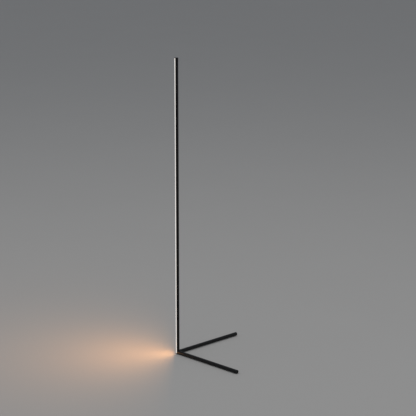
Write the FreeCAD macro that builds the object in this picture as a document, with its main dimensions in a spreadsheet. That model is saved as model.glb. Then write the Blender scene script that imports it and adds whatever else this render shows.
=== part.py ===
import FreeCAD, Part
import math
import os
import Sketcher
from FreeCAD import Rotation, Vector

os.makedirs("parts", exist_ok=True)
doc = FreeCAD.newDocument("corner_floor_lamp")

# Driving dimensions in millimetres and degrees. The origin is on the floor under the upright's axis,
# +Z is up, +X runs into the open side of the V, and the light faces -X.
DIMENSIONS = {
    # the whole lamp
    "lamp_height": 1500,
    "tube_diameter": 18,
    "leg_reach": 420,
    "leg_angle": 45,
    "floor_gap": 1,
    # the upright's extrusion and its opal cover
    "profile_wall": 1.3,
    "window_half_angle": 56,
    "shelf_offset": 1.6,
    "shelf_thickness": 1.8,
    "catch_angle": 12,
    "catch_width_angle": 3,
    "catch_depth": 0.35,
    "diffuser_wall": 1.4,
    "diffuser_edge_angle": 0.6,
    "diffuser_end_gap": 0.2,
    "snap_leg_thickness": 1.1,
    "snap_root_angle": 6,
    "snap_gap": 0.1,
    # light source
    "tape_thickness": 0.3,
    "board_width": 9,
    "board_thickness": 1,
    "strip_end_margin": 4,
    "bead_width": 3,
    "bead_height": 0.6,
    "bead_margin": 1.5,
    "resistor_pitch": 50,
    "resistor_length": 2,
    "resistor_width": 1.2,
    "resistor_height": 0.5,
    "resistor_offset": 3,
    # end caps of the upright
    "top_cap_thickness": 2,
    "foot_cap_thickness": 4,
    "cap_chamfer": 0.4,
    "seam_chamfer": 0.25,
    "insert_gap": 0.2,
    # hub in the foot
    "tongue_length": 55,
    "neck_diameter": 9.4,
    "neck_gap": 0.2,
    "shoulder_gap": 1,
    "spigot_length": 40,
    "spigot_fit": 0.05,
    "spigot_chamfer": 0.8,
    "wire_bore_diameter": 6,
    "wire_slot_width": 3.8,
    "wire_slot_depth": 3.1,
    # legs
    "leg_wall": 1.5,
    "cope_gap": 0.1,
    "leg_cap_thickness": 2,
    "leg_cap_depth": 8,
    "leg_cap_wall": 1.25,
    "ballast_gap": 0.15,
    "ballast_end_gap": 0.3,
    "ballast_channel_width": 4.4,
    "ballast_channel_floor": 1.2,
    "inlet_room": 28,
    # feet
    "corner_pad_diameter": 13,
    "corner_pad_recess": 0.5,
    "leg_pad_inset": 20,
    "leg_pad_diameter": 8,
    "leg_pad_stem_diameter": 3.8,
    "leg_pad_stem_length": 4.2,
    "pad_fit": 0.1,
    # screws
    "screw_diameter": 3,
    "screw_head_diameter": 5.6,
    "screw_length": 7,
    "screw_fit": 0.05,
    "screw_tip": 0.3,
    "screw_tip_gap": 0.5,
    "screw_socket": 2,
    "screw_socket_depth": 1,
    "hub_screw_rise": 20,
    "hub_screw_spacing": 20,
    "foot_screw_offset": 3.4,
    "cap_screw_offset": 4,
    "grub_diameter": 4,
    "grub_length": 4.4,
    "grub_reach": 30,
    "grub_sink": 0.3,
    # push button and its guide in the top cap
    "button_diameter": 7.6,
    "button_head_height": 3.2,
    "button_edge": 0.3,
    "button_fit": 0.05,
    "button_well_depth": 4,
    "well_floor": 1,
    "cap_boss_diameter": 10.4,
    "stem_diameter": 2.6,
    "stem_offset": 2.4,
    "stem_tip": 0.5,
    "clip_diameter": 4.4,
    "clip_thickness": 0.5,
    "clip_groove_depth": 0.3,
    # switch and dimmer board in the top cap's bay
    "screw_land": 6.5,
    "bay_depth": 12.5,
    "bay_fit": 0.15,
    "switch_depth": 3.4,
    "switch_width": 6,
    "switch_height": 4.5,
    "plunger_diameter": 2,
    "plunger_length": 3.5,
    "plunger_proud": 1.2,
    "plunger_room": 0.8,
    "dimmer_board_width": 8.4,
    "dimmer_board_length": 30,
    "dimmer_board_thickness": 1,
    "chip_width": 3.8,
    "chip_length": 5,
    "chip_height": 1.5,
    "chip_rise": 5,
    "chip_spacing": 9,
    # wires
    "solder_reach": 12,
    "solder_gap": 0.05,
    "supply_wire_diameter": 1.6,
    "supply_wire_spread": 0.1,
    "supply_bend": 4,
    "supply_wall_gap": 0.5,
    "supply_pad_offset": 1.6,
    "supply_pad_spacing": 2,
    "supply_lean_length": 60,
    "supply_lean_margin": 20,
    "supply_lean_bend": 200,
    "strip_wire_diameter": 1.4,
    "strip_wire_offset": 2.9,
    "strip_wire_bend": 3,
    "strip_wire_drop": 7.5,
    "wire_hole_gap": 0.4,
    # low-voltage inlet
    "jack_diameter": 8,
    "jack_length": 17,
    "jack_flange_diameter": 10.8,
    "jack_flange_thickness": 1,
    "jack_fit": 0.1,
    "jack_bore_diameter": 6,
    "jack_bore_depth": 9.5,
    "jack_pin_diameter": 2.1,
    "jack_pin_recess": 1.5,
    "jack_pin_root_diameter": 2.8,
    "jack_pin_root": 5,
    "jack_pin_tip": 0.5,
    "jack_nut_flats": 10,
    "jack_nut_thickness": 2,
    "terminal_length": 4,
    "terminal_width": 1.2,
    "terminal_thickness": 0.5,
}

sheet = doc.addObject("Spreadsheet::Sheet", "sizes")
for row, (alias, value) in enumerate(DIMENSIONS.items(), 1):
    sheet.set(f"A{row}", alias)
    sheet.set(f"B{row}", str(value))
    sheet.setAlias(f"B{row}", alias)
doc.recompute()


def size(text):
    """The present value of an expression over the sheet."""
    result = sheet.evalExpression(str(text))
    return float(getattr(result, "Value", result))


# Places and sizes that several pieces share, as expressions over the sheet.
tube_r = "(sizes.tube_diameter / 2)"
seam_r = "(sizes.tube_diameter / 2 - sizes.seam_chamfer)"
axis_z = f"(sizes.floor_gap + {tube_r})"
bore_r = f"({tube_r} - sizes.profile_wall)"
leg_bore_r = f"({tube_r} - sizes.leg_wall)"
foot_z = "(sizes.floor_gap + sizes.foot_cap_thickness)"
head_z = "(sizes.lamp_height - sizes.top_cap_thickness)"
window_edge = "(180 - sizes.window_half_angle)"
catch_near = f"({window_edge} - sizes.catch_angle)"
catch_far = f"({catch_near} + sizes.catch_width_angle)"
shelf_front = "(0 - sizes.shelf_offset)"
shelf_back = "(sizes.shelf_thickness - sizes.shelf_offset)"
tape_face = f"({shelf_front} - sizes.tape_thickness)"
board_face = f"({tape_face} - sizes.board_thickness)"
insert_r = f"({bore_r} - sizes.insert_gap)"
insert_flat = f"({shelf_back} + sizes.insert_gap)"
neck_r = "(sizes.neck_diameter / 2)"
spigot_r = f"({leg_bore_r} - sizes.spigot_fit)"
shoulder_x = f"({tube_r} + sizes.shoulder_gap)"
spigot_x = f"({shoulder_x} + sizes.spigot_length)"
slot_x = f"({insert_r} - sizes.wire_slot_depth)"
leg_end_x = "(sizes.leg_reach - sizes.leg_cap_thickness)"
leg_pad_x = "(sizes.leg_reach - sizes.leg_pad_inset)"
cap_end_x = f"({leg_end_x} - sizes.leg_cap_depth)"
cap_bore_r = f"({spigot_r} - sizes.leg_cap_wall)"
screw_hole_r = "(sizes.screw_diameter / 2 + sizes.screw_fit)"
pad_seat_z = "(sizes.floor_gap + sizes.corner_pad_recess)"
well_floor_z = "(sizes.lamp_height - sizes.button_well_depth)"
boss_end_z = f"({well_floor_z} - sizes.well_floor)"
bay_roof_z = f"({boss_end_z} - sizes.screw_land)"
bay_end_z = f"({bay_roof_z} - sizes.bay_depth)"
clip_z = f"({bay_roof_z} - sizes.clip_thickness)"
stem_end_z = f"({clip_z} - sizes.stem_tip)"
switch_top_z = f"({stem_end_z} - sizes.plunger_proud)"
dimmer_face = "(sizes.stem_offset + sizes.switch_depth / 2)"
dimmer_back = f"({dimmer_face} + sizes.dimmer_board_thickness)"
dimmer_top_z = f"({switch_top_z} + sizes.insert_gap)"
dimmer_end_z = f"({dimmer_top_z} - sizes.dimmer_board_length)"
solder_z = f"({dimmer_end_z} + sizes.solder_reach)"
strip_wire_z = f"({dimmer_end_z} - sizes.strip_wire_drop)"
strip_start_z = f"({foot_z} + sizes.strip_end_margin)"
strip_end_z = f"({boss_end_z} - sizes.insert_gap)"
hub_screw_z = f"({foot_z} + sizes.hub_screw_rise)"
cap_screw_z = f"({bay_roof_z} + sizes.screw_land / 2)"
shelf_screws = {
    "hub_low": (0, hub_screw_z),
    "hub_high": (0, f"({hub_screw_z} + sizes.hub_screw_spacing)"),
    "cap_rear": ("sizes.cap_screw_offset", cap_screw_z),
    "cap_front": ("(0 - sizes.cap_screw_offset)", cap_screw_z),
}
thread_depth = "(sizes.screw_length - sizes.shelf_offset + sizes.screw_tip_gap)"
jack_end_x = "(sizes.leg_reach - sizes.jack_length)"
jack_seat_x = "(sizes.leg_reach - sizes.jack_flange_thickness)"
jack_floor_x = "(sizes.leg_reach - sizes.jack_bore_depth)"
wire_side = "(sizes.supply_wire_diameter / 2 + sizes.supply_wire_spread)"


def bind(thing, rows):
    """Set properties of an object by expression."""
    for path, text in rows.items():
        thing.setExpression(path, str(text))
    return thing


def body(name):
    made = doc.addObject("PartDesign::Body", name)
    made.Label = name
    return made


def sketch(owner, name, plane, at=(0, 0, 0), turn=None):
    """A sketch on one of the body's origin planes, moved in that plane's axes and turned about Z."""
    made = owner.newObject("Sketcher::SketchObject", f"{owner.Label}_{name}")
    made.AttachmentSupport = [(next(p for p in owner.Origin.OriginFeatures if p.Role == plane), "")]
    made.MapMode = "FlatFace"
    if turn:
        upright = Vector(0, 0, 1) if plane == "XY_Plane" else Vector(0, 1, 0)
        made.AttachmentOffset = FreeCAD.Placement(Vector(), Rotation(upright, 1))
        bind(made, {"AttachmentOffset.Rotation.Angle": turn})
    bind(made, {f"AttachmentOffset.Base.{axis}": text for axis, text in zip("xyz", at) if text != 0})
    return made


def pin_point(on, index, end, x, y):
    """Fix one point of a sketch at x, y, which are expressions or 0."""
    if x == 0 and y == 0:
        on.addConstraint(Sketcher.Constraint("Coincident", index, end, -1, 1))
        return
    for value, kind, axis in ((x, "DistanceX", -2), (y, "DistanceY", -1)):
        if value == 0:
            on.addConstraint(Sketcher.Constraint("PointOnObject", index, end, axis))
        else:
            row = on.addConstraint(Sketcher.Constraint(kind, -1, 1, index, end, size(value)))
            bind(on, {f"Constraints[{row}]": value})


def circle(on, radius, x=0, y=0):
    middle = Vector(size(x), size(y), 0)
    index = on.addGeometry(Part.Circle(middle, Vector(0, 0, 1), size(radius)), False)
    row = on.addConstraint(Sketcher.Constraint("Radius", index, size(radius)))
    bind(on, {f"Constraints[{row}]": radius})
    pin_point(on, index, 3, x, y)


def polygon(on, *corners):
    """A closed outline through the corners, each an x, y pair of expressions."""
    points = [Vector(size(x), size(y), 0) for x, y in corners]
    sides = [Part.LineSegment(a, b) for a, b in zip(points, points[1:] + points[:1])]
    indices = on.addGeometry(sides, False)
    for index, following, corner in zip(indices, indices[1:] + indices[:1], corners):
        on.addConstraint(Sketcher.Constraint("Coincident", index, 2, following, 1))
        pin_point(on, index, 1, *corner)


def rectangle(on, x0, y0, x1, y1):
    polygon(on, (x0, y0), (x1, y0), (x1, y1), (x0, y1))


def hexagon(on, flats, x=0, y=0):
    """A hexagon by its width across flats, its corners off the sketch's axes."""
    turns = [f"({15 + 60 * corner} * 1deg)" for corner in range(6)]
    arm = f"({flats} / sqrt(3))"
    polygon(on, *[(f"({x} + {arm} * cos{turn})", f"({y} + {arm} * sin{turn})") for turn in turns])


def sector(on, inner, outer, start, end):
    """A piece of a ring round the sketch's origin, between two angles in degrees."""
    radii = [size(inner), size(outer)]
    angles = [math.radians(size(start)), math.radians(size(end))]
    arcs = [Part.ArcOfCircle(Part.Circle(Vector(), Vector(0, 0, 1), r), *angles) for r in radii]
    ends = [[Vector(r * math.cos(a), r * math.sin(a), 0) for r in radii] for a in angles]
    low, high, first, last = on.addGeometry(arcs + [Part.LineSegment(*pair) for pair in ends], False)
    link = Sketcher.Constraint
    on.addConstraint([link("Coincident", low, 3, -1, 1), link("Coincident", high, 3, -1, 1)])
    on.addConstraint([link("Coincident", first, 1, low, 1), link("Coincident", first, 2, high, 1)])
    on.addConstraint([link("Coincident", last, 1, low, 2), link("Coincident", last, 2, high, 2)])
    on.addConstraint([link("PointOnObject", -1, 1, first), link("PointOnObject", -1, 1, last)])
    sized = [("Radius", low, radii[0], inner), ("Radius", high, radii[1], outer)]
    sized += [("Angle", first, angles[0], f"({start}) * 1deg"), ("Angle", last, angles[1], f"({end}) * 1deg")]
    for kind, index, value, text in sized:
        row = on.addConstraint(link(kind, index, value))
        bind(on, {f"Constraints[{row}]": text})


def pad(profile, length, reverse=False):
    made = profile.getParentGeoFeatureGroup().newObject("PartDesign::Pad", f"{profile.Name}_pad")
    made.Profile = profile
    made.Reversed = reverse
    return bind(made, {"Length": length})


def cut(profile, length=None, reverse=False, both=False):
    """A pocket of a given depth, or through all, behind the sketch, before it or both ways."""
    made = profile.getParentGeoFeatureGroup().newObject("PartDesign::Pocket", f"{profile.Name}_cut")
    made.Profile = profile
    made.Reversed = reverse
    if both:
        made.SideType = "Symmetric"
    if length is None:
        made.Type = "ThroughAll"
        return made
    return bind(made, {"Length": length})


def spin(profile, axis, remove=False):
    """Turn the sketch round its own V or H axis, to add or to remove."""
    kind = "PartDesign::Groove" if remove else "PartDesign::Revolution"
    made = profile.getParentGeoFeatureGroup().newObject(kind, f"{profile.Name}_turned")
    made.Profile = profile
    made.ReferenceAxis = (profile, [axis])
    made.Angle = 360
    return made


def block(name, low, wide, foot, length, width, height):
    """A box by its low X, its middle Y and its foot Z."""
    made = doc.addObject("Part::Box", name)
    made.Label = name
    bind(made, {"Length": length, "Width": width, "Height": height})
    return put(made, low, f"{wide} - ({width}) / 2", foot)


def group(name, members):
    """Like solids that share one node."""
    made = doc.addObject("Part::Compound", name)
    made.Label = name
    made.Links = members
    return made


def put(thing, x, y, z):
    return bind(thing, {f"Placement.Base.{axis}": text for axis, text in zip("xyz", (x, y, z))})


def lay_along_leg(thing, side):
    """Turn a piece drawn along +X from the upright's axis on to the rear (1) or front (-1) leg."""
    thing.Placement = FreeCAD.Placement(Vector(), Rotation(Vector(0, 0, 1), 1))
    return bind(thing, {"Placement.Base.z": axis_z, "Placement.Rotation.Angle": f"{side} * sizes.leg_angle"})


# ---- screws


def screw_outline(on, gap, swap=False):
    """Half of a countersunk screw, or with a gap of its hole, drawn along X, or along Y if swapped."""
    shank = f"(sizes.screw_diameter / 2 + {gap})"
    head = f"(sizes.screw_head_diameter / 2 + {gap})"
    points = [
        (0, 0),
        (0, head),
        (f"({head} - {shank})", shank),
        ("(sizes.screw_length - sizes.screw_tip)", shank),
        ("sizes.screw_length", f"({shank} - sizes.screw_tip)"),
        ("sizes.screw_length", 0),
    ]
    polygon(on, *[(y, x) if swap else (x, y) for x, y in points])


def screw(name, along_z=False):
    """Countersunk socket screw with its head's face at the origin, pointing along +X or +Z."""
    made = body(name)
    outline = sketch(made, "outline", "XZ_Plane")
    screw_outline(outline, 0, along_z)
    spin(outline, "V_Axis" if along_z else "H_Axis")
    socket = sketch(made, "socket", "XY_Plane" if along_z else "YZ_Plane")
    hexagon(socket, "sizes.screw_socket")
    cut(socket, "sizes.screw_socket_depth", reverse=True)
    return made


def case_screws():
    """Two screws for the hub, two for the top cap and one for the foot cap."""
    members = []
    for name, (y, z) in shelf_screws.items():
        members.append(put(screw(f"{name}_screw"), shelf_front, y, z))
    members.append(put(screw("foot_screw", along_z=True), "sizes.foot_screw_offset", 0, pad_seat_z))
    return group("case_screws", members)


def leg_grub_screws():
    """A socket set screw under each leg, from the leg's underside into the hub's spigot."""
    members = []
    for name, side in (("rear", 1), ("front", -1)):
        made = body(f"{name}_grub_screw")
        start = f"(sizes.grub_sink - {tube_r})"
        shank = sketch(made, "shank", "XY_Plane", at=(0, 0, start))
        circle(shank, "sizes.grub_diameter / 2", "sizes.grub_reach")
        pad(shank, "sizes.grub_length")
        socket = sketch(made, "socket", "XY_Plane", at=(0, 0, start))
        hexagon(socket, "sizes.screw_socket", "sizes.grub_reach")
        cut(socket, "sizes.screw_socket_depth", reverse=True)
        members.append(lay_along_leg(made, side))
    return group("leg_grub_screws", members)


# ---- upright


def both_sides(start, end):
    """Two angles about the upright on the rear side, and their mirror image on the front side."""
    return ("rear", (start, end)), ("front", (f"(0 - {end})", f"(0 - {start})"))


def upright_profile():
    """Round channel open towards -X, with a slot for each neck of the hub, a shelf for the strip,
    catches for the cover and countersinks for the screws that the strip hides."""
    made = body("upright_profile")
    length = f"({head_z} - {foot_z})"
    foot = (0, 0, foot_z)
    ring = sketch(made, "ring", "XY_Plane", at=foot)
    sector(ring, bore_r, tube_r, f"(0 - {window_edge})", window_edge)
    pad(ring, length)
    slot_r = f"({neck_r} + sizes.neck_gap)"
    for name, side in (("rear", 1), ("front", -1)):
        turn = f"{side} * sizes.leg_angle"
        hole = sketch(made, f"{name}_neck_hole", "YZ_Plane", at=(0, axis_z, 0), turn=turn)
        circle(hole, slot_r)
        cut(hole, f"2 * {tube_r}", reverse=True)
        mouth = sketch(made, f"{name}_neck_mouth", "YZ_Plane", at=(0, axis_z, 0), turn=turn)
        rectangle(mouth, f"(0 - {slot_r})", f"(0 - {tube_r})", slot_r, 0)
        cut(mouth, f"2 * {tube_r}", reverse=True)
    shelf = sketch(made, "shelf", "XY_Plane", at=foot)
    reach = f"({tube_r} - sizes.profile_wall / 2)"
    rectangle(shelf, shelf_front, f"(0 - {reach})", shelf_back, reach)
    pad(shelf, length)
    for name, edges in both_sides(catch_near, catch_far):
        catch = sketch(made, f"{name}_catch", "XY_Plane", at=foot)
        sector(catch, f"({bore_r} - sizes.snap_gap)", f"({bore_r} + sizes.catch_depth)", *edges)
        cut(catch, reverse=True)
    for name, (y, z) in shelf_screws.items():
        sink = sketch(made, f"{name}_sink", "XZ_Plane", at=(shelf_front, z, f"(0 - {y})"))
        screw_outline(sink, "sizes.screw_fit")
        spin(sink, "H_Axis", remove=True)
    well = sketch(made, "boss_well", "XY_Plane", at=(0, 0, strip_end_z))
    circle(well, "(sizes.cap_boss_diameter / 2 + sizes.insert_gap)")
    cut(well, reverse=True)
    wires = sketch(made, "wire_holes", "YZ_Plane", at=(0, 0, shelf_front))
    strip_wire_holes(wires)
    cut(wires, "sizes.shelf_thickness", reverse=True)
    return made


def strip_wire_holes(on):
    """The pair of holes through which the strip's wires reach its face."""
    for y in ("sizes.strip_wire_offset", "(0 - sizes.strip_wire_offset)"):
        circle(on, "(sizes.strip_wire_diameter / 2 + sizes.wire_hole_gap)", y, strip_wire_z)


def diffuser():
    """Opal cover that completes the round section, with a hooked leg inside each edge."""
    made = body("diffuser")
    foot = (0, 0, f"({foot_z} + sizes.diffuser_end_gap)")
    length = f"({head_z} - {foot_z} - 2 * sizes.diffuser_end_gap)"
    edge = f"({window_edge} + sizes.diffuser_edge_angle)"
    cover = sketch(made, "cover", "XY_Plane", at=foot)
    sector(cover, f"({tube_r} - sizes.diffuser_wall)", tube_r, edge, f"(360 - {edge})")
    pad(cover, length)
    leg_outer = f"({bore_r} - sizes.snap_gap)"
    leg_inner = f"({leg_outer} - sizes.snap_leg_thickness)"
    play = "sizes.catch_width_angle / 6"
    root = f"({edge} + sizes.snap_root_angle)"
    parts = {
        "root": (f"({tube_r} - sizes.diffuser_wall / 2)", edge, root),
        "leg": (leg_outer, f"({catch_near} - {play})", root),
        "hook": (f"({leg_outer} + sizes.catch_depth)", f"({catch_near} + {play})", f"({catch_far} - {play})"),
    }
    for name, (outer, start, end) in parts.items():
        for side, edges in both_sides(start, end):
            piece = sketch(made, f"{side}_{name}", "XY_Plane", at=foot)
            sector(piece, leg_inner, outer, *edges)
            pad(piece, length)
    return made


def top_cap():
    """Thin disc over the upright and its cover, with the button's well in it and a tongue behind the
    shelf that takes two screws and holds the switch and the dimmer board in a bay."""
    made = body("top_cap")
    tongue = sketch(made, "tongue", "XY_Plane", at=(0, 0, bay_end_z))
    circle(tongue, insert_r)
    pad(tongue, f"({head_z} - {bay_end_z})")
    front = sketch(made, "front", "XY_Plane")
    rectangle(front, f"(0 - 2 * {tube_r})", f"(0 - 2 * {tube_r})", insert_flat, f"(2 * {tube_r})")
    cut(front, both=True)
    disc = sketch(made, "disc", "XZ_Plane")
    boss_r = "(sizes.cap_boss_diameter / 2)"
    polygon(
        disc,
        (0, boss_end_z),
        (boss_r, boss_end_z),
        (boss_r, head_z),
        (seam_r, head_z),
        (tube_r, f"({head_z} + sizes.seam_chamfer)"),
        (tube_r, "(sizes.lamp_height - sizes.cap_chamfer)"),
        (f"({tube_r} - sizes.cap_chamfer)", "sizes.lamp_height"),
        (0, "sizes.lamp_height"),
    )
    spin(disc, "V_Axis")
    well = sketch(made, "well", "XZ_Plane")
    well_r = "(sizes.button_diameter / 2 + sizes.button_fit)"
    polygon(
        well,
        (0, well_floor_z),
        (well_r, well_floor_z),
        (well_r, "(sizes.lamp_height - sizes.button_edge)"),
        (f"({well_r} + sizes.button_edge)", "sizes.lamp_height"),
        (0, "sizes.lamp_height"),
    )
    spin(well, "V_Axis", remove=True)
    bay = sketch(made, "bay", "XY_Plane", at=(0, 0, bay_roof_z))
    side = "(sizes.dimmer_board_width / 2 + sizes.bay_fit)"
    rectangle(bay, f"(0 - 2 * {tube_r})", f"(0 - {side})", f"({dimmer_back} + sizes.insert_gap)", side)
    cut(bay)
    guide = sketch(made, "guide", "XY_Plane", at=(0, 0, well_floor_z))
    circle(guide, "(sizes.stem_diameter / 2 + sizes.button_fit)", "sizes.stem_offset")
    cut(guide)
    threads = sketch(made, "threads", "YZ_Plane")
    for name in ("cap_rear", "cap_front"):
        circle(threads, screw_hole_r, *shelf_screws[name])
    cut(threads, thread_depth, reverse=True)
    return made


def foot_cap():
    """Disc under the upright and its cover, hollowed for the rubber pad and countersunk for a screw."""
    made = body("foot_cap")
    disc = sketch(made, "disc", "XZ_Plane")
    recess_r = "(sizes.corner_pad_diameter / 2 + sizes.pad_fit)"
    polygon(
        disc,
        (0, pad_seat_z),
        (recess_r, pad_seat_z),
        (recess_r, "sizes.floor_gap"),
        (f"({tube_r} - sizes.cap_chamfer)", "sizes.floor_gap"),
        (tube_r, "(sizes.floor_gap + sizes.cap_chamfer)"),
        (tube_r, f"({foot_z} - sizes.seam_chamfer)"),
        (seam_r, foot_z),
        (0, foot_z),
    )
    spin(disc, "V_Axis")
    sink = sketch(made, "sink", "XZ_Plane", at=("sizes.foot_screw_offset", pad_seat_z, 0))
    screw_outline(sink, "sizes.screw_fit", swap=True)
    spin(sink, "V_Axis", remove=True)
    return made


def corner_foot_pad():
    made = body("corner_foot_pad")
    disc = sketch(made, "disc", "XY_Plane")
    circle(disc, "sizes.corner_pad_diameter / 2")
    pad(disc, pad_seat_z)
    return made


# ---- hub and legs


def base_hub():
    """Steel core that fills the upright's foot behind the shelf, with a neck through the wall and a
    thick spigot for each leg. The rear spigot is bored for the wires, which turn up into a slot."""
    made = body("base_hub")
    core = sketch(made, "core", "XY_Plane", at=(0, 0, foot_z))
    circle(core, insert_r)
    pad(core, "sizes.tongue_length")
    sides = (("rear", 1), ("front", -1))
    for name, side in sides:
        arm = sketch(made, f"{name}_arm", "XZ_Plane", at=(0, axis_z, 0), turn=f"{side} * sizes.leg_angle")
        polygon(
            arm,
            (0, 0),
            (0, neck_r),
            (shoulder_x, neck_r),
            (shoulder_x, spigot_r),
            (f"({spigot_x} - sizes.spigot_chamfer)", spigot_r),
            (spigot_x, f"({spigot_r} - sizes.spigot_chamfer)"),
            (spigot_x, 0),
        )
        spin(arm, "H_Axis")
    front = sketch(made, "front", "XY_Plane")
    rectangle(front, f"(0 - 2 * {tube_r})", f"(0 - 2 * {tube_r})", insert_flat, f"(2 * {tube_r})")
    cut(front, both=True)
    bore = sketch(made, "wire_bore", "XZ_Plane", at=(0, axis_z, 0), turn="sizes.leg_angle")
    rectangle(bore, slot_x, 0, spigot_x, "sizes.wire_bore_diameter / 2")
    spin(bore, "H_Axis", remove=True)
    slot = sketch(made, "wire_slot", "XY_Plane", at=(0, 0, axis_z), turn="sizes.leg_angle")
    half = "(sizes.wire_slot_width / 2)"
    rectangle(slot, slot_x, f"(0 - {half})", bore_r, half)
    cut(slot, reverse=True)
    threads = sketch(made, "threads", "YZ_Plane")
    for name in ("hub_low", "hub_high"):
        circle(threads, screw_hole_r, *shelf_screws[name])
    cut(threads, thread_depth, reverse=True)
    foot = sketch(made, "foot_thread", "XY_Plane", at=(0, 0, foot_z))
    circle(foot, screw_hole_r, "sizes.foot_screw_offset")
    cut(foot, f"({pad_seat_z} + sizes.screw_length + sizes.screw_tip_gap - {foot_z})", reverse=True)
    for name, side in sides:
        grub = sketch(made, f"{name}_grub", "XY_Plane", at=(0, 0, axis_z), turn=f"{side} * sizes.leg_angle")
        circle(grub, "(sizes.grub_diameter / 2 + sizes.screw_fit)", "sizes.grub_reach")
        cut(grub)
    return made


def leg_tube(name, side):
    """Round tube coped to the upright, mitred to its twin between them, with two holes beneath."""
    made = body(name)
    section = sketch(made, "section", "YZ_Plane")
    circle(section, tube_r)
    circle(section, leg_bore_r)
    pad(section, leg_end_x)
    cope = sketch(made, "cope", "XY_Plane")
    circle(cope, f"({tube_r} + sizes.cope_gap)")
    cut(cope, both=True)
    mitre = sketch(made, "mitre", "XY_Plane")
    arm = f"(4 * {tube_r})"
    tip = (f"({arm} * cos(sizes.leg_angle * 1deg))", f"({-side} * {arm} * sin(sizes.leg_angle * 1deg))")
    polygon(mitre, (0, 0), tip, (0, f"({-side} * {arm})"))
    cut(mitre, both=True)
    holes = sketch(made, "holes", "XY_Plane")
    circle(holes, "(sizes.grub_diameter / 2 + sizes.screw_fit)", "sizes.grub_reach")
    circle(holes, "(sizes.leg_pad_stem_diameter / 2 + sizes.pad_fit)", leg_pad_x)
    cut(holes)
    return lay_along_leg(made, side)


def leg_ballast(name, side, end):
    """Steel bar from the hub's spigot to the leg's end."""
    made = body(name)
    start = f"({spigot_x} + sizes.ballast_end_gap)"
    section = sketch(made, "section", "YZ_Plane", at=(0, 0, start))
    circle(section, f"({leg_bore_r} - sizes.ballast_gap)")
    pad(section, f"({end} - {start})")
    return lay_along_leg(made, side)


def rear_leg_ballast():
    """The bar beside the inlet, with an open channel for the supply wires."""
    made = leg_ballast("rear_leg_ballast", 1, "(sizes.leg_reach - sizes.inlet_room)")
    channel = sketch(made, "channel", "XY_Plane", at=(0, 0, "(0 - sizes.ballast_channel_floor)"))
    half = "(sizes.ballast_channel_width / 2)"
    rectangle(channel, spigot_x, f"(0 - {half})", "sizes.leg_reach", half)
    cut(channel, reverse=True)
    return made


def front_leg_ballast():
    """The bar in the front leg, drilled for the rubber foot's stem."""
    made = leg_ballast("front_leg_ballast", -1, f"({cap_end_x} - sizes.ballast_end_gap)")
    roof = f"(sizes.leg_pad_stem_length + sizes.ballast_end_gap - {tube_r})"
    hole = sketch(made, "foot_hole", "XY_Plane", at=(0, 0, roof))
    circle(hole, "(sizes.leg_pad_stem_diameter / 2 + sizes.pad_fit)", leg_pad_x)
    cut(hole)
    return made


def leg_cap(name, side, hole_r):
    """Disc with a hollow plug that closes a leg's end, open in the middle if hole_r isn't 0."""
    made = body(name)
    outline = sketch(made, "outline", "XZ_Plane")
    end = "sizes.leg_reach"
    polygon(
        outline,
        (leg_end_x, hole_r),
        (leg_end_x, cap_bore_r),
        (cap_end_x, cap_bore_r),
        (cap_end_x, spigot_r),
        (leg_end_x, spigot_r),
        (leg_end_x, seam_r),
        (f"({leg_end_x} + sizes.seam_chamfer)", tube_r),
        (f"({end} - sizes.cap_chamfer)", tube_r),
        (end, f"({tube_r} - sizes.cap_chamfer)"),
        (end, hole_r),
    )
    spin(outline, "H_Axis")
    return lay_along_leg(made, side)


def rear_leg_cap():
    """The cap that carries the inlet, with a counterbore for the inlet's flange."""
    made = leg_cap("rear_leg_cap", 1, "(sizes.jack_diameter / 2 + sizes.jack_fit)")
    seat = sketch(made, "seat", "YZ_Plane", at=(0, 0, jack_seat_x))
    circle(seat, "(sizes.jack_flange_diameter / 2 + sizes.jack_fit)")
    cut(seat, reverse=True)
    return made


def leg_foot_pad(name, side):
    """Rubber foot whose head fits the tube's underside and whose stem goes up through its wall."""
    made = body(name)
    floor = (0, 0, f"(0 - {axis_z})")
    head = sketch(made, "head", "XY_Plane", at=floor)
    circle(head, "sizes.leg_pad_diameter / 2", leg_pad_x)
    pad(head, f"(sizes.floor_gap + {tube_r} / 2)")
    saddle = sketch(made, "saddle", "YZ_Plane")
    circle(saddle, f"({tube_r} + sizes.screw_fit)")
    cut(saddle, reverse=True)
    stem = sketch(made, "stem", "XY_Plane", at=floor)
    circle(stem, "sizes.leg_pad_stem_diameter / 2", leg_pad_x)
    pad(stem, "(sizes.floor_gap + sizes.leg_pad_stem_length)")
    return lay_along_leg(made, side)


# ---- light source


def strip_layer(name, face, thickness):
    """A flat strip along the shelf, drilled for its wires."""
    made = body(name)
    outline = sketch(made, "outline", "YZ_Plane", at=(0, 0, face))
    half = "(sizes.board_width / 2)"
    rectangle(outline, f"(0 - {half})", strip_start_z, half, strip_end_z)
    strip_wire_holes(outline)
    pad(outline, thickness)
    return made


def phosphor_bead():
    """The glowing line of coated chips down the middle of the board."""
    made = body("phosphor_bead")
    section = sketch(made, "section", "XY_Plane", at=(0, 0, f"({strip_start_z} + sizes.bead_margin)"))
    half = "(sizes.bead_width / 2)"
    crown = f"({board_face} - sizes.bead_height)"
    slope = f"({half} - sizes.bead_height)"
    base = [(board_face, f"(0 - {half})"), (board_face, half)]
    polygon(section, *base, (crown, slope), (crown, f"(0 - {slope})"))
    pad(section, f"({strip_end_z} - {strip_start_z} - 2 * sizes.bead_margin)")
    return made


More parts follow.
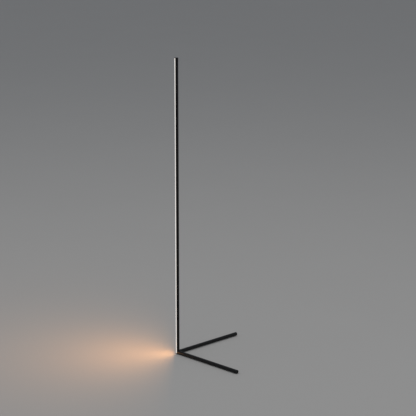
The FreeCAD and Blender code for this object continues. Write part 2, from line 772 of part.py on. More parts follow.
def strip_resistors():
    """A chip resistor beside the bead for each segment of the strip."""
    made = body("strip_resistors")
    first = sketch(made, "first", "XY_Plane", at=(0, 0, f"({strip_start_z} + sizes.resistor_pitch / 2)"))
    half = "(sizes.resistor_width / 2)"
    low = "(sizes.resistor_offset - sizes.resistor_width / 2)"
    high = "(sizes.resistor_offset + sizes.resistor_width / 2)"
    rectangle(first, f"({board_face} - sizes.resistor_height)", low, board_face, high)
    one = pad(first, "sizes.resistor_length")
    row = made.newObject("PartDesign::LinearPattern", "strip_resistors_row")
    row.Originals = [one]
    row.Direction = (next(a for a in made.Origin.OriginFeatures if a.Role == "Z_Axis"), [""])
    row.Mode = "Spacing"
    count = f"floor(({strip_end_z} - {strip_start_z}) / sizes.resistor_pitch)"
    bind(row, {"Occurrences": count, "Offset": "sizes.resistor_pitch"})
    made.Tip = row
    return made


# ---- button, switch and dimmer


def dimmer_button():
    """Round head in the top cap's well, with a stem to one side that reaches down to the switch."""
    made = body("dimmer_button")
    head = sketch(made, "head", "XZ_Plane")
    head_r = "(sizes.button_diameter / 2)"
    head_foot = "(sizes.lamp_height - sizes.button_head_height)"
    polygon(
        head,
        (0, head_foot),
        (head_r, head_foot),
        (head_r, "(sizes.lamp_height - sizes.button_edge)"),
        (f"({head_r} - sizes.button_edge)", "sizes.lamp_height"),
        (f"({head_r} - 2 * sizes.button_edge)", "sizes.lamp_height"),
        (0, "(sizes.lamp_height - sizes.button_edge)"),
    )
    spin(head, "V_Axis")
    stem = sketch(made, "stem", "XY_Plane", at=(0, 0, stem_end_z))
    circle(stem, "sizes.stem_diameter / 2", "sizes.stem_offset")
    pad(stem, f"({head_foot} - {stem_end_z})")
    groove = sketch(made, "groove", "XZ_Plane", at=("sizes.stem_offset", 0, 0))
    stem_r = "(sizes.stem_diameter / 2)"
    rectangle(groove, f"({stem_r} - sizes.clip_groove_depth)", clip_z, f"(2 * {stem_r})", bay_roof_z)
    spin(groove, "V_Axis", remove=True)
    return made


def button_clip():
    """Ring on the stem under the bay's roof that keeps the button from coming out."""
    made = body("button_clip")
    ring = sketch(made, "ring", "XY_Plane", at=(0, 0, clip_z))
    inner_r = "(sizes.stem_diameter / 2 - sizes.clip_groove_depth + sizes.button_fit)"
    circle(ring, "sizes.clip_diameter / 2", "sizes.stem_offset")
    circle(ring, inner_r, "sizes.stem_offset")
    pad(ring, "sizes.clip_thickness")
    return made


def switch_plunger():
    made = body("switch_plunger")
    pin = sketch(made, "pin", "XY_Plane", at=(0, 0, f"({stem_end_z} - sizes.plunger_length)"))
    circle(pin, "sizes.plunger_diameter / 2", "sizes.stem_offset")
    pad(pin, "sizes.plunger_length")
    return made


def switch_body():
    """Side-mounted push switch on the dimmer board, with a blind hole for its plunger."""
    made = body("switch_body")
    case = sketch(made, "case", "XY_Plane", at=(0, 0, switch_top_z))
    half = "(sizes.switch_width / 2)"
    rectangle(case, f"({dimmer_face} - sizes.switch_depth)", f"(0 - {half})", dimmer_face, half)
    pad(case, "sizes.switch_height", reverse=True)
    hole = sketch(made, "hole", "XY_Plane", at=(0, 0, switch_top_z))
    circle(hole, "(sizes.plunger_diameter / 2 + sizes.button_fit)", "sizes.stem_offset")
    cut(hole, "(sizes.plunger_length - sizes.plunger_proud + sizes.plunger_room)")
    return made


def dimmer_board():
    length, width = "sizes.dimmer_board_thickness", "sizes.dimmer_board_width"
    return block("dimmer_board", dimmer_face, "0", dimmer_end_z, length, width, "sizes.dimmer_board_length")


def dimmer_chips():
    """The driver chip and the dimmer chip on the board's front."""
    low = f"({dimmer_face} - sizes.chip_height)"
    foot = f"({dimmer_end_z} + sizes.chip_rise)"
    chip = ("sizes.chip_height", "sizes.chip_width", "sizes.chip_length")
    driver = block("driver_chip", low, "0", foot, *chip)
    dimmer = block("dimmer_chip", low, "0", f"({foot} + sizes.chip_spacing)", *chip)
    return group("dimmer_chips", [driver, dimmer])


# ---- inlet


def jack_body():
    """Threaded barrel with a flange, bored for a plug and drilled for the pin in the middle."""
    made = body("jack_body")
    outline = sketch(made, "outline", "XZ_Plane")
    barrel_r = "(sizes.jack_diameter / 2)"
    flange_r = "(sizes.jack_flange_diameter / 2)"
    pin_hole_r = "(sizes.jack_pin_root_diameter / 2 + sizes.screw_fit)"
    bore = "(sizes.jack_bore_diameter / 2)"
    root_x = f"({jack_floor_x} - sizes.jack_pin_root)"
    polygon(
        outline,
        (jack_end_x, 0),
        (jack_end_x, barrel_r),
        (jack_seat_x, barrel_r),
        (jack_seat_x, flange_r),
        ("sizes.leg_reach", flange_r),
        ("sizes.leg_reach", bore),
        (jack_floor_x, bore),
        (jack_floor_x, pin_hole_r),
        (root_x, pin_hole_r),
        (root_x, 0),
    )
    spin(outline, "H_Axis")
    return lay_along_leg(made, 1)


def jack_pin():
    made = body("jack_pin")
    outline = sketch(made, "outline", "XZ_Plane")
    root_x = f"({jack_floor_x} - sizes.jack_pin_root)"
    tip_x = "(sizes.leg_reach - sizes.jack_pin_recess)"
    pin_r = "(sizes.jack_pin_diameter / 2)"
    root_r = "(sizes.jack_pin_root_diameter / 2)"
    root = [(root_x, 0), (root_x, root_r), (jack_floor_x, root_r), (jack_floor_x, pin_r)]
    shoulder = (f"({tip_x} - sizes.jack_pin_tip)", pin_r)
    tip = (tip_x, f"({pin_r} - sizes.jack_pin_tip)")
    polygon(outline, *root, shoulder, tip, (tip_x, 0))
    spin(outline, "H_Axis")
    return lay_along_leg(made, 1)


def jack_nut():
    """Hexagon nut that pulls the inlet's flange on to the cap from inside."""
    made = body("jack_nut")
    outline = sketch(made, "outline", "YZ_Plane", at=(0, 0, leg_end_x))
    hexagon(outline, "sizes.jack_nut_flats")
    circle(outline, "(sizes.jack_diameter / 2 + sizes.screw_fit)")
    pad(outline, "sizes.jack_nut_thickness", reverse=True)
    return lay_along_leg(made, 1)


def jack_terminals():
    """Two tabs behind the inlet, each with a wire on its end."""
    members = []
    for name, side in (("positive", 1), ("negative", -1)):
        made = body(f"{name}_terminal")
        tab = sketch(made, "tab", "YZ_Plane", at=(0, 0, jack_end_x))
        low = f"({side} * {wire_side} - sizes.terminal_width / 2)"
        high = f"({side} * {wire_side} + sizes.terminal_width / 2)"
        half = "(sizes.terminal_thickness / 2)"
        rectangle(tab, low, f"(0 - {half})", high, half)
        pad(tab, "sizes.terminal_length", reverse=True)
        members.append(lay_along_leg(made, 1))
    return group("jack_terminals", members)


# ---- wires


def wire_along(points, radii, diameter):
    """A round wire on straight runs joined by tangent arcs, one radius for each inner point."""
    runs = []
    start = points[0]
    for before, corner, after, radius in zip(points, points[1:], points[2:], radii):
        inward = (corner - before).normalize()
        outward = (after - corner).normalize()
        turn = math.acos(max(-1.0, min(1.0, inward.dot(outward))))
        setback = radius * math.tan(turn / 2)
        first = corner - inward * setback
        last = corner + outward * setback
        middle = corner + (outward - inward).normalize() * (radius / math.cos(turn / 2) - radius)
        runs.append(Part.LineSegment(start, first).toShape())
        runs.append(Part.Arc(first, middle, last).toShape())
        start = last
    runs.append(Part.LineSegment(start, points[-1]).toShape())
    path = Part.Wire(runs)
    rim = Part.Wire(Part.Circle(points[0], points[1] - points[0], diameter / 2).toShape())
    solid = path.makePipeShell([rim], True, False)
    expected = math.pi * diameter**2 / 4 * path.Length
    share = solid.Volume / expected
    print(f"wire of {path.Length:.0f} mm, bend radii {radii}, {share:.4f} of its section times its length")
    return solid


def free_form(name, shape):
    made = doc.addObject("Part::Feature", name)
    made.Label = name
    made.Shape = shape
    return made


def supply_wire(name, side):
    """From its tab behind the inlet along the leg, up the hub's slot and the upright's rear chamber,
    and over to its pad on the back of the dimmer board."""
    angle = math.radians(size("sizes.leg_angle"))
    along = Vector(math.cos(angle), math.sin(angle), 0)
    across = Vector(-math.sin(angle), math.cos(angle), 0) * (side * size(wire_side))
    radius = size("sizes.supply_wire_diameter / 2")
    reach = size(f"{bore_r} - sizes.supply_wall_gap") - radius
    turn_x = math.sqrt(reach**2 - size(wire_side) ** 2)
    level = Vector(0, 0, size(axis_z))
    lean_end = size(f"{dimmer_end_z} - sizes.supply_lean_margin")
    pad_x = size(f"{dimmer_back} + sizes.solder_gap") + radius
    pad_y = size(f"sizes.supply_pad_offset + {side} * sizes.supply_pad_spacing / 2")
    foot = along * turn_x + across
    points = [
        along * size(f"{jack_end_x} - sizes.terminal_length") + across + level,
        foot + level,
        foot + Vector(0, 0, lean_end - size("sizes.supply_lean_length")),
        Vector(pad_x, pad_y, lean_end),
        Vector(pad_x, pad_y, size(solder_z)),
    ]
    lean = size("sizes.supply_lean_bend")
    return free_form(name, wire_along(points, [size("sizes.supply_bend"), lean, lean], 2 * radius))


def strip_wires():
    """From the front of the dimmer board down and through the shelf to the face of the strip."""
    radius = size("sizes.strip_wire_diameter / 2")
    x = size(f"{dimmer_face} - sizes.solder_gap") - radius
    wires = []
    for side in (1, -1):
        y = side * size("sizes.strip_wire_offset")
        corner = Vector(x, y, size(strip_wire_z))
        points = [Vector(x, y, size(solder_z)), corner, Vector(size(board_face), y, corner.z)]
        wires.append(wire_along(points, [size("sizes.strip_wire_bend")], 2 * radius))
    return free_form("strip_wires", Part.makeCompound(wires))


nodes = [
    upright_profile(),
    diffuser(),
    top_cap(),
    foot_cap(),
    corner_foot_pad(),
    base_hub(),
    leg_tube("rear_leg_tube", 1),
    leg_tube("front_leg_tube", -1),
    rear_leg_ballast(),
    front_leg_ballast(),
    rear_leg_cap(),
    leg_cap("front_leg_cap", -1, 0),
    leg_foot_pad("rear_foot_pad", 1),
    leg_foot_pad("front_foot_pad", -1),
    case_screws(),
    leg_grub_screws(),
    strip_layer("thermal_tape", tape_face, "sizes.tape_thickness"),
    strip_layer("led_board", board_face, "sizes.board_thickness"),
    phosphor_bead(),
    strip_resistors(),
    dimmer_button(),
    button_clip(),
    switch_plunger(),
    switch_body(),
    dimmer_board(),
    dimmer_chips(),
    jack_body(),
    jack_pin(),
    jack_nut(),
    jack_terminals(),
    supply_wire("supply_wire_positive", 1),
    supply_wire("supply_wire_negative", -1),
    strip_wires(),
]

doc.recompute()
for thing in doc.Objects:
    if {"Invalid", "Error"} & set(thing.State):
        raise SystemExit(f"{thing.Name} has not been made: {thing.State}")
for node in nodes:
    if node.Shape.isNull() or not node.Shape.isValid() or not node.Shape.Solids:
        raise SystemExit(f"{node.Label} is not a valid solid")
for node in nodes:
    node.Shape.exportStep(f"parts/{node.Label}.step")
print(f"{len(nodes)} nodes, {sum(len(node.Shape.Solids) for node in nodes)} solids")
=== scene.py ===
import bpy, bmesh, math
from mathutils import Matrix, Vector


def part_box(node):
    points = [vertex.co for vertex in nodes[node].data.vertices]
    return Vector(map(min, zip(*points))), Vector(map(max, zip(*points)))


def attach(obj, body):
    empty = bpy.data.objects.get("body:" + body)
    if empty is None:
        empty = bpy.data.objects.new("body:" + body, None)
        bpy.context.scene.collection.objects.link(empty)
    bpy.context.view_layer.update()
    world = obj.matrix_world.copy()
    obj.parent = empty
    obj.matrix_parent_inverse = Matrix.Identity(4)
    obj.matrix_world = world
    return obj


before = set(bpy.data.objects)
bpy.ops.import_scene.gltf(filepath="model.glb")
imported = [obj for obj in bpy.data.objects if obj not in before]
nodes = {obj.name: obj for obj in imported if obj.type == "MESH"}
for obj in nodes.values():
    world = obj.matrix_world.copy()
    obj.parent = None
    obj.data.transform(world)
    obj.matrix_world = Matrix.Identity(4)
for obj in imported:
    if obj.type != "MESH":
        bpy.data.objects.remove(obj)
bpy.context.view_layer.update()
print("lamp loaded:", len(nodes), "pieces")

# Camera, floor and light

view = {
    "photoSide": 416,  # px
    "focal": 1502.2,  # px across the photograph's frame
    "sensor": 36,  # mm
    "place": (0.1525, -7.2035, 2.4662),
    "tilt": 13.356,  # degrees below level
    "turn": 0.461,  # degrees round the upright
    "nearest": 0.05,
    "farthest": 300,
}


def setCamera():
    camData = bpy.data.cameras.new("photoView")
    camData.sensor_width = view["sensor"]
    camData.lens = view["sensor"] * view["focal"] / view["photoSide"]
    camData.clip_start, camData.clip_end = view["nearest"], view["farthest"]
    cam = bpy.data.objects.new("photoView", camData)
    turn = math.radians(view["turn"])
    cam.location = Matrix.Rotation(turn, 3, "Z") @ Vector(view["place"])
    cam.rotation_euler = (math.radians(90 - view["tilt"]), 0, turn)
    bpy.context.scene.collection.objects.link(cam)
    bpy.context.scene.camera = cam


def surface(name, tone, roughness, metallic=0.0):
    mat = bpy.data.materials.new(name)
    mat.use_nodes = True
    tree = mat.node_tree
    shader = tree.nodes["Principled BSDF"]
    shader.inputs["Base Color"].default_value = (*tone, 1)
    shader.inputs["Roughness"].default_value = roughness
    shader.inputs["Metallic"].default_value = metallic
    return mat, tree, shader


def objectCoords(tree, stretch=(1, 1, 1), turn=0, centre=(0, 0, 0)):
    # metres from a centre, turned about the upright, then drawn out
    coords = tree.nodes.new("ShaderNodeTexCoord")
    mapping = tree.nodes.new("ShaderNodeMapping")
    mapping.vector_type = "TEXTURE"
    mapping.inputs["Location"].default_value = centre
    mapping.inputs["Rotation"].default_value = (0, 0, math.radians(turn))
    mapping.inputs["Scale"].default_value = stretch
    tree.links.new(coords.outputs["Object"], mapping.inputs["Vector"])
    return mapping.outputs["Vector"]


def axes(tree, vector):
    made = tree.nodes.new("ShaderNodeSeparateXYZ")
    tree.links.new(vector, made.inputs[0])
    return made.outputs


def noise(tree, scale, stretch=(1, 1, 1), turn=0, detail=3.0):
    made = tree.nodes.new("ShaderNodeTexNoise")
    made.inputs["Scale"].default_value = scale
    made.inputs["Detail"].default_value = detail
    tree.links.new(objectCoords(tree, stretch, turn), made.inputs["Vector"])
    return made.outputs["Fac"]


def reckon(tree, operation, *values):
    # one arithmetic step over sockets and numbers
    made = tree.nodes.new("ShaderNodeMath")
    made.operation = operation
    for socket, value in zip(made.inputs, values):
        if isinstance(value, (int, float)):
            socket.default_value = value
        else:
            tree.links.new(value, socket)
    return made.outputs[0]


def spread(tree, value, low, high, start=0.3, end=0.7):
    # from start..end on to low..high; a noise keeps to 0.3..0.7
    made = tree.nodes.new("ShaderNodeMapRange")
    ends = {"From Min": start, "From Max": end, "To Min": low, "To Max": high}
    for socket, number in ends.items():
        made.inputs[socket].default_value = number
    tree.links.new(value, made.inputs["Value"])
    return made.outputs["Result"]


def blendTones(tree, share, first, second):
    # each tone is a socket or three numbers
    made = tree.nodes.new("ShaderNodeMix")
    made.data_type = "RGBA"
    for socket, tone in (("A", first), ("B", second)):
        if isinstance(tone, tuple):
            made.inputs[socket].default_value = (*tone, 1)
        else:
            tree.links.new(tone, made.inputs[socket])
    tree.links.new(share, made.inputs["Factor"])
    return made.outputs["Result"]


def relief(tree, shader, pattern, height, strength=0.5):
    made = tree.nodes.new("ShaderNodeBump")
    made.inputs["Distance"].default_value = height
    made.inputs["Strength"].default_value = strength
    tree.links.new(pattern, made.inputs["Height"])
    tree.links.new(made.outputs["Normal"], shader.inputs["Normal"])


studio = {
    "floorSpan": 90,
    "floorTone": (0.50, 0.49, 0.475),
    "floorShade": (0.485, 0.475, 0.461),
    "floorRoughness": 0.75,
    "floorGloss": 0.2,
    "cloudScale": 1.3,
    "skyTone": (0.80, 0.84, 0.90, 1),
    "skyLevel": 0.36,
    "softboxes": {
        # place, span in metres, watts, tone
        "high": ((-0.6, -0.6, 7.5), (7.0, 6.0), 150, (1.0, 0.98, 0.95)),
        "right": ((6.5, -4.0, 4.2), (3.0, 4.0), 60, (0.94, 0.97, 1.0)),
    },
    "aim": (0.1, 0, 0.6),
}


def addPanel(name, place, span, watts, tone, facing):
    light = bpy.data.lights.new(name, "AREA")
    light.shape = "RECTANGLE"
    light.size, light.size_y = span
    light.energy = watts
    light.color = tone
    panel = bpy.data.objects.new(name, light)
    panel.location = place
    panel.rotation_euler = Vector(facing).to_track_quat("-Z", "Y").to_euler()
    bpy.context.scene.collection.objects.link(panel)
    return panel


def layFloor():
    bm = bmesh.new()
    bmesh.ops.create_grid(bm, x_segments=1, y_segments=1, size=studio["floorSpan"] / 2)
    mesh = bpy.data.meshes.new("studioFloor")
    bm.to_mesh(mesh)
    bm.free()
    floor = bpy.data.objects.new("studioFloor", mesh)
    bpy.context.scene.collection.objects.link(floor)
    mat, tree, shader = surface("paleFloor", studio["floorTone"], studio["floorRoughness"])
    shader.inputs["Specular IOR Level"].default_value = studio["floorGloss"]
    clouds = noise(tree, studio["cloudScale"])
    tone = blendTones(tree, clouds, studio["floorShade"], studio["floorTone"])
    tree.links.new(tone, shader.inputs["Base Color"])
    mesh.materials.append(mat)


def setStudio():
    world = bpy.data.worlds.new("studioSky")
    world.use_nodes = True
    sky = world.node_tree.nodes["Background"]
    sky.inputs["Color"].default_value = studio["skyTone"]
    sky.inputs["Strength"].default_value = studio["skyLevel"]
    bpy.context.scene.world = world
    for name, (spot, span, watts, tone) in studio["softboxes"].items():
        addPanel(name, spot, span, watts, tone, Vector(studio["aim"]) - Vector(spot))
    bpy.context.scene.view_settings.view_transform = "Standard"


setCamera()
layFloor()
setStudio()
print("camera, floor and studio light set")

# Black anodised aluminium: the upright, the legs and their caps

anodised = {
    "tone": (0.0030, 0.0030, 0.0033),
    "worn": (0.0080, 0.0078, 0.0080),
    "roughness": (0.30, 0.42),
    "gloss": 0.27,
    "cloudScale": 38,  # per metre
    "cloudDetail": 5,
    "wornFrom": (0.45, 0.75),  # how dense the clouds are where wear starts, and where it is full
    "drawnScale": 2400,  # lines per metre
    "drawnLength": 120,  # times their width
    "drawnDetail": 2,
    "drawnDepth": 0.000012,
    "drawnSheen": 0.05,
    "ringScale": 26000,  # radians per metre
    "ringDepth": 0.000002,
    "ringStrength": 0.4,
    "ringSheen": 0.03,
}
legTurn = {"rear": 45, "front": -45}  # degrees from +X
axleRise = 0.009  # a leg's axis above its underside


def anodisedBlack(name):
    # satin, with soft clouding in tone and sheen
    mat, tree, shader = surface(name, anodised["tone"], anodised["roughness"][0])
    shader.inputs["Specular IOR Level"].default_value = anodised["gloss"]
    clouds = noise(tree, anodised["cloudScale"], detail=anodised["cloudDetail"])
    patches = spread(tree, clouds, 0, 1, *anodised["wornFrom"])
    tone = blendTones(tree, patches, anodised["tone"], anodised["worn"])
    tree.links.new(tone, shader.inputs["Base Color"])
    return mat, tree, shader, spread(tree, clouds, *anodised["roughness"])


def drawnBlack(name, stretch, turn=0):
    # fine lines along an extrusion or a drawn tube
    mat, tree, shader, sheen = anodisedBlack(name)
    lines = noise(tree, anodised["drawnScale"], stretch, turn, anodised["drawnDetail"])
    change = spread(tree, lines, -anodised["drawnSheen"], anodised["drawnSheen"])
    tree.links.new(reckon(tree, "ADD", sheen, change), shader.inputs["Roughness"])
    relief(tree, shader, lines, anodised["drawnDepth"])
    return mat


def turnedBlack(name, centre=(0, 0, 0), turn=None):
    # faint rings about the axis of a turned cap, which is upright unless a leg's turn is given
    mat, tree, shader, sheen = anodisedBlack(name)
    x, y, z = axes(tree, objectCoords(tree, turn=turn or 0, centre=centre))
    first, second = (x, y) if turn is None else (y, z)
    squares = [reckon(tree, "MULTIPLY", side, side) for side in (first, second)]
    radius = reckon(tree, "SQRT", reckon(tree, "ADD", *squares))
    rings = reckon(tree, "SINE", reckon(tree, "MULTIPLY", radius, anodised["ringScale"]))
    change = reckon(tree, "MULTIPLY", rings, anodised["ringSheen"])
    tree.links.new(reckon(tree, "ADD", sheen, change), shader.inputs["Roughness"])
    relief(tree, shader, rings, anodised["ringDepth"], anodised["ringStrength"])
    return mat


def wear(mat, *names):
    for name in names:
        mesh = nodes[name].data
        mesh.materials.clear()
        mesh.materials.append(mat)


def finishBlackParts():
    drawn = anodised["drawnLength"]
    wear(drawnBlack("blackUpright", (1, 1, drawn)), "upright_profile")
    for name in ("top_cap", "foot_cap"):
        wear(turnedBlack("turned_" + name), name)
    for leg, turn in legTurn.items():
        wear(drawnBlack("drawn_" + leg + "_leg", (drawn, 1, 1), turn), leg + "_leg_tube")
        axle = (0, 0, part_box(leg + "_leg_tube")[0].z + axleRise)
        wear(turnedBlack("turned_" + leg + "_leg_cap", axle, turn), leg + "_leg_cap")


finishBlackParts()
print("black aluminium set")

# Opal cover and the light that it throws

glow = {
    "tone": (1.0, 0.975, 0.95),
    "edgeTone": (0.80, 0.70, 0.60),
    "edgeX": -0.0049,  # where the cover meets the black profile
    "edgeFall": 0.5,
    "endFade": 0.004,
    "level": 0.74,
    "coverTone": (0.66, 0.65, 0.63),
    "coverShade": (0.63, 0.62, 0.60),
    "coverRoughness": 0.40,
    "coverGloss": 0.25,
    "grainScale": 1800,
    "grainLength": 120,
    "grainDetail": 2,
    "grainDepth": 0.000008,
    "grainStrength": 0.4,
    "beamTone": (1.0, 0.47, 0.16),
    "beamWidth": 0.014,
    "beamGap": 0.0006,  # clear of the cover
    "beams": {
        # lowest and highest point, watts
        "beamLow": (0.04, 0.12, 0.18),
        "beamMiddle": (0.12, 0.30, 0.30),
        "beamHigh": (0.30, 0.60, 3.2),
    },
    # the lit floor's reflection on the legs: place, span, watts
    "sheen": ((-0.060, 0, 0.002), (0.09, 0.20), 0.24),
}


def opalCover():
    # whitest along its middle, a little warmer and dimmer towards its edges and ends
    mat, tree, shader = surface("opalCover", glow["coverTone"], glow["coverRoughness"])
    shader.inputs["Specular IOR Level"].default_value = glow["coverGloss"]
    drawn = (1, 1, glow["grainLength"])
    grain = noise(tree, glow["grainScale"], drawn, detail=glow["grainDetail"])
    tone = blendTones(tree, grain, glow["coverShade"], glow["coverTone"])
    tree.links.new(tone, shader.inputs["Base Color"])
    relief(tree, shader, grain, glow["grainDepth"], glow["grainStrength"])
    low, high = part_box("diffuser")
    x, _, z = axes(tree, objectCoords(tree))
    middle = spread(tree, x, 1, 0, low.x, glow["edgeX"])
    across = reckon(tree, "POWER", middle, glow["edgeFall"])
    foot = spread(tree, z, 0, 1, low.z, low.z + glow["endFade"])
    head = spread(tree, z, 1, 0, high.z - glow["endFade"], high.z)
    lit = reckon(tree, "MULTIPLY", across, reckon(tree, "MULTIPLY", foot, head))
    shine = blendTones(tree, lit, glow["edgeTone"], glow["tone"])
    tree.links.new(shine, shader.inputs["Emission Color"])
    shader.inputs["Emission Strength"].default_value = glow["level"]
    return mat


def setBeams():
    # the cover's light on the floor, from panels just in front of it that the camera doesn't see
    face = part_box("diffuser")[0].x - glow["beamGap"]
    for name, (low, high, watts) in glow["beams"].items():
        spot, span = (face, 0, (low + high) / 2), (glow["beamWidth"], high - low)
        beam = addPanel(name, spot, span, watts, glow["beamTone"], (-1, 0, 0))
        beam.visible_camera = False


def setSheen():
    spot, span, watts = glow["sheen"]
    sheen = addPanel("sheen", spot, span, watts, glow["beamTone"], (0, 0, 1))
    sheen.visible_camera = sheen.visible_diffuse = False
    legs = bpy.data.collections.new("legsInSheen")
    for leg in legTurn:
        legs.objects.link(nodes[leg + "_leg_tube"])
    sheen.light_linking.receiver_collection = legs


wear(opalCover(), "diffuser")
setBeams()
setSheen()
print("opal cover and its light set")

# Steel, rubber, brass and plastic

plainFinishes = {
    # darker tone, lighter tone, roughness, metal, grain per metre, its depth
    "hubSteel": ((0.22, 0.22, 0.23), (0.30, 0.30, 0.31), 0.42, 1, 900, 0.00002),
    "padRubber": ((0.012, 0.012, 0.012), (0.022, 0.022, 0.022), 0.75, 0, 1400, 0.00006),
    "screwSteel": ((0.05, 0.05, 0.055), (0.10, 0.10, 0.105), 0.38, 1, 900, 0.00002),
    "componentBlack": ((0.015, 0.015, 0.016), (0.028, 0.028, 0.03), 0.5, 0, 900, 0.00002),
    "contactBrass": ((0.72, 0.52, 0.22), (0.80, 0.60, 0.28), 0.25, 1, 900, 0.00001),
    "greyTape": ((0.66, 0.66, 0.64), (0.74, 0.74, 0.72), 0.6, 0, 900, 0.00002),
    "phosphor": ((0.85, 0.62, 0.16), (0.92, 0.70, 0.22), 0.45, 0, 2600, 0.00002),
    "blackButton": ((0.008, 0.008, 0.009), (0.014, 0.014, 0.015), 0.5, 0, 2200, 0.00004),
    "inletPlastic": ((0.012, 0.012, 0.012), (0.02, 0.02, 0.02), 0.42, 0, 1200, 0.00002),
    "nutNickel": ((0.62, 0.60, 0.56), (0.70, 0.68, 0.64), 0.25, 1, 900, 0.00001),
    "solder": ((0.60, 0.60, 0.61), (0.72, 0.72, 0.73), 0.22, 1, 1500, 0.00003),
    "redWire": ((0.42, 0.015, 0.012), (0.50, 0.025, 0.02), 0.45, 0, 700, 0.00001),
    "blackWire": ((0.014, 0.014, 0.014), (0.022, 0.022, 0.022), 0.45, 0, 700, 0.00001),
    "whiteWire": ((0.74, 0.74, 0.72), (0.80, 0.80, 0.78), 0.45, 0, 700, 0.00001),
}
wornBy = {
    "hubSteel": ("base_hub",),
    "padRubber": ("corner_foot_pad", "rear_foot_pad", "front_foot_pad"),
    "screwSteel": ("case_screws", "leg_grub_screws", "button_clip"),
    "componentBlack": ("switch_plunger", "switch_body", "dimmer_chips"),
    "contactBrass": ("jack_pin", "jack_terminals"),
    "greyTape": ("thermal_tape",),
    "phosphor": ("phosphor_bead",),
    "blackButton": ("dimmer_button",),
    "inletPlastic": ("jack_body",),
    "nutNickel": ("jack_nut",),
    "redWire": ("supply_wire_positive",),
    "blackWire": ("supply_wire_negative",),
    "whiteWire": ("strip_wires",),
}
grainSheen = 0.06  # how far the grain changes the roughness, each way


def grained(name, darker, lighter, roughness, metal, scale, depth, stretch=(1, 1, 1), turn=0):
    mat, tree, shader = surface(name, darker, roughness, metal)
    grain = noise(tree, scale, stretch, turn)
    tone = blendTones(tree, spread(tree, grain, 0, 1), darker, lighter)
    tree.links.new(tone, shader.inputs["Base Color"])
    sheen = spread(tree, grain, roughness - grainSheen, roughness + grainSheen)
    tree.links.new(sheen, shader.inputs["Roughness"])
    relief(tree, shader, grain, depth)
    return mat


ballastBars = {
    "darker": (0.36, 0.36, 0.37),
    "lighter": (0.44, 0.44, 0.45),
    "roughness": 0.35,
    "drawnScale": 1600,
    "drawnLength": 120,
    "drawnDepth": 0.00001,
}


def drawnSteel(name, turn):
    tones = ballastBars["darker"], ballastBars["lighter"]
    drawn = (ballastBars["drawnLength"], 1, 1)
    rest = ballastBars["roughness"], 1, ballastBars["drawnScale"], ballastBars["drawnDepth"]
    return grained(name, *tones, *rest, drawn, turn)


for name, nodeNames in wornBy.items():
    wear(grained(name, *plainFinishes[name]), *nodeNames)
for leg, turn in legTurn.items():
    wear(drawnSteel("drawn_" + leg + "_bar", turn), leg + "_leg_ballast")
print("steel, rubber, brass and plastic set")

# The light strip's board and resistors, and the dimmer's board

strip = {
    "tone": (0.82, 0.82, 0.80),
    "lighter": (0.88, 0.88, 0.86),
    "roughness": (0.28, 0.42),
    "grainScale": 700,
    "grainDepth": 0.00001,
    "pitch": 0.05,  # between the places where it may be cut
    "cutMark": (0.05, 0.05, 0.05),
    "markHalf": 0.0001,
    "copper": (0.72, 0.40, 0.20),
    "padOffset": 0.0029,  # a pad's middle from the strip's
    "padHalf": 0.0013,
    "padHalfWidth": 0.0009,
}
resistors = {
    "tone": (0.018, 0.018, 0.02),
    "tinTone": (0.62, 0.62, 0.60),
    "length": 0.002,
    "tinLength": 0.0004,
    "roughness": (0.32, 0.46),
    "grainScale": 2400,
    "grainDepth": 0.00001,
}
tracks = {
    "tone": (0.012, 0.085, 0.035),
    "track": (0.030, 0.17, 0.075),
    "cellScale": 420,  # patches per metre, each with its tracks one way
    "upShare": 0.5,  # of the patches, with tracks that run up
    "pitch": 0.0009,
    "half": 0.00016,
    "height": 0.00003,
    "strength": 0.6,
    "roughness": (0.24, 0.38),
    "grainScale": 900,
}


def within(tree, value, centre, half):
    # 1 where the value is no further than half from the centre
    distance = reckon(tree, "ABSOLUTE", reckon(tree, "SUBTRACT", value, centre))
    return reckon(tree, "LESS_THAN", distance, half)


def alongStrip(tree, z, start):
    # metres from the start of each repeat
    return reckon(tree, "FLOORED_MODULO", reckon(tree, "SUBTRACT", z, start), strip["pitch"])


def fineGrain(tree, shader, piece):
    grain = noise(tree, piece["grainScale"])
    tree.links.new(spread(tree, grain, *piece["roughness"]), shader.inputs["Roughness"])
    return grain


def stripBoard():
    # white lacquer, with a pair of copper pads and a line at each place where it may be cut
    mat, tree, shader = surface("stripBoard", strip["tone"], strip["roughness"][0])
    _, y, z = axes(tree, objectCoords(tree))
    half = strip["pitch"] / 2  # the places lie midway between the resistors
    run = alongStrip(tree, z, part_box("led_board")[0].z - half)
    inRun = within(tree, run, half, strip["padHalf"])
    side = reckon(tree, "ABSOLUTE", y)
    inRow = within(tree, side, strip["padOffset"], strip["padHalfWidth"])
    pads = reckon(tree, "MULTIPLY", inRun, inRow)
    mark = within(tree, run, half, strip["markHalf"])
    grain = fineGrain(tree, shader, strip)
    relief(tree, shader, grain, strip["grainDepth"])
    lacquer = blendTones(tree, grain, strip["tone"], strip["lighter"])
    padded = blendTones(tree, pads, lacquer, strip["copper"])
    marked = blendTones(tree, mark, padded, strip["cutMark"])
    tree.links.new(marked, shader.inputs["Base Color"])
    tree.links.new(pads, shader.inputs["Metallic"])
    return mat


def resistorBlack():
    # a dark chip with a tinned band at each end
    mat, tree, shader = surface("resistorBlack", resistors["tone"], resistors["roughness"][0])
    z = axes(tree, objectCoords(tree))[2]
    run = alongStrip(tree, z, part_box("strip_resistors")[0].z)
    middle = resistors["length"] / 2
    tin = reckon(tree, "SUBTRACT", 1, within(tree, run, middle, middle - resistors["tinLength"]))
    tone = blendTones(tree, tin, resistors["tone"], resistors["tinTone"])
    tree.links.new(tone, shader.inputs["Base Color"])
    tree.links.new(tin, shader.inputs["Metallic"])
    relief(tree, shader, fineGrain(tree, shader, resistors), resistors["grainDepth"])
    return mat


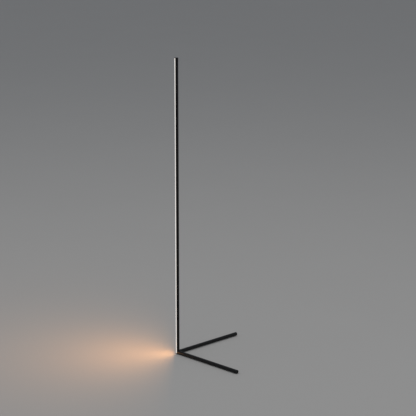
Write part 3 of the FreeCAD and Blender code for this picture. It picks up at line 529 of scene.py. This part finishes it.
def dimmerGreen():
    # green lacquer over patches of tracks that run up or across the board
    mat, tree, shader = surface("dimmerGreen", tracks["tone"], tracks["roughness"][0])
    coords = objectCoords(tree)
    patches = tree.nodes.new("ShaderNodeTexVoronoi")
    patches.distance = "CHEBYCHEV"
    patches.inputs["Scale"].default_value = tracks["cellScale"]
    tree.links.new(coords, patches.inputs["Vector"])
    picked = axes(tree, patches.outputs["Color"])[0]
    upward = reckon(tree, "GREATER_THAN", picked, tracks["upShare"])
    _, y, z = axes(tree, coords)
    lines = []
    for side, chosen in ((y, upward), (z, reckon(tree, "SUBTRACT", 1, upward))):
        run = reckon(tree, "FLOORED_MODULO", side, tracks["pitch"])
        line = within(tree, run, tracks["pitch"] / 2, tracks["half"])
        lines.append(reckon(tree, "MULTIPLY", line, chosen))
    copper = reckon(tree, "ADD", *lines)
    tone = blendTones(tree, copper, tracks["tone"], tracks["track"])
    tree.links.new(tone, shader.inputs["Base Color"])
    relief(tree, shader, copper, tracks["height"], tracks["strength"])
    fineGrain(tree, shader, tracks)
    return mat


wear(stripBoard(), "led_board")
wear(resistorBlack(), "strip_resistors")
wear(dimmerGreen(), "dimmer_board")
print("boards set")

# Solder round the ends of the wires

solder = {
    "wireGap": 0.00005,  # between a wire and its board
    "supplyRadius": 0.0008,
    "stripRadius": 0.0007,
    "over": 0.0003,  # how far a joint stands over its wire
    "beside": 0.0001,  # and beside it: less, for the two supply wires lie close together
    "rise": 0.0016,  # half of a joint's length along the board
    "domeRadius": 0.0012,
    "domeHeight": 0.0006,
    "steps": 20,
    "rings": 12,  # even, so that one ring is the joint's rim on the board
    "slack": 0.001,  # of the joint's height, so that this ring doesn't count as proud
    "rimDepth": 0.0001,  # of the points that count as a wire's end
}


def addJoint(bm, centre, half, face):
    # half an egg round a wire's end, flat where it meets the board; face is the way it stands out
    toBoard = Matrix.Rotation(math.pi / 2, 4, "Y")
    steps, rings = solder["steps"], solder["rings"]
    made = bmesh.ops.create_uvsphere(
        bm, u_segments=steps, v_segments=rings, radius=1, matrix=toBoard
    )
    verts = made["verts"]
    proud = [v for v in verts if v.co.x * face > solder["slack"]]
    for v in proud:
        for f in v.link_faces:
            f.smooth = True
    behind = [v for v in verts if v.co.x * face < 0]
    bmesh.ops.scale(bm, vec=(0, 1, 1), verts=behind)
    bmesh.ops.scale(bm, vec=half, verts=verts)
    bmesh.ops.translate(bm, vec=centre, verts=verts)


def wireMiddle(name):
    # across the board, from the highest points of the wire's mesh
    points = [v.co for v in nodes[name].data.vertices]
    top = max(p.z for p in points)
    rim = [p.y for p in points if p.z > top - solder["rimDepth"]]
    return (min(rim) + max(rim)) / 2


def jointSize(radius):
    high = solder["wireGap"] + 2 * radius + solder["over"]
    return (high, radius + solder["beside"], solder["rise"])


def solderJoints():
    bm = bmesh.new()
    front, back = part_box("dimmer_board")
    for name in ("supply_wire_positive", "supply_wire_negative"):
        centre = (back.x, wireMiddle(name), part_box(name)[1].z)
        addJoint(bm, centre, jointSize(solder["supplyRadius"]), 1)
    low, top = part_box("strip_wires")
    radius = solder["stripRadius"]
    dome = (solder["domeHeight"], solder["domeRadius"], solder["domeRadius"])
    for side in (-1, 1):
        y = side * (top.y - radius)
        addJoint(bm, (front.x, y, top.z), jointSize(radius), -1)
        addJoint(bm, (low.x, y, low.z + radius), dome, -1)
    bmesh.ops.recalc_face_normals(bm, faces=bm.faces)
    mesh = bpy.data.meshes.new("solder_joints")
    bm.to_mesh(mesh)
    bm.free()
    piece = bpy.data.objects.new("solder_joints", mesh)
    bpy.context.scene.collection.objects.link(piece)
    mesh.materials.append(grained("solder", *plainFinishes["solder"]))
    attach(piece, "lamp")


solderJoints()
print("solder set")
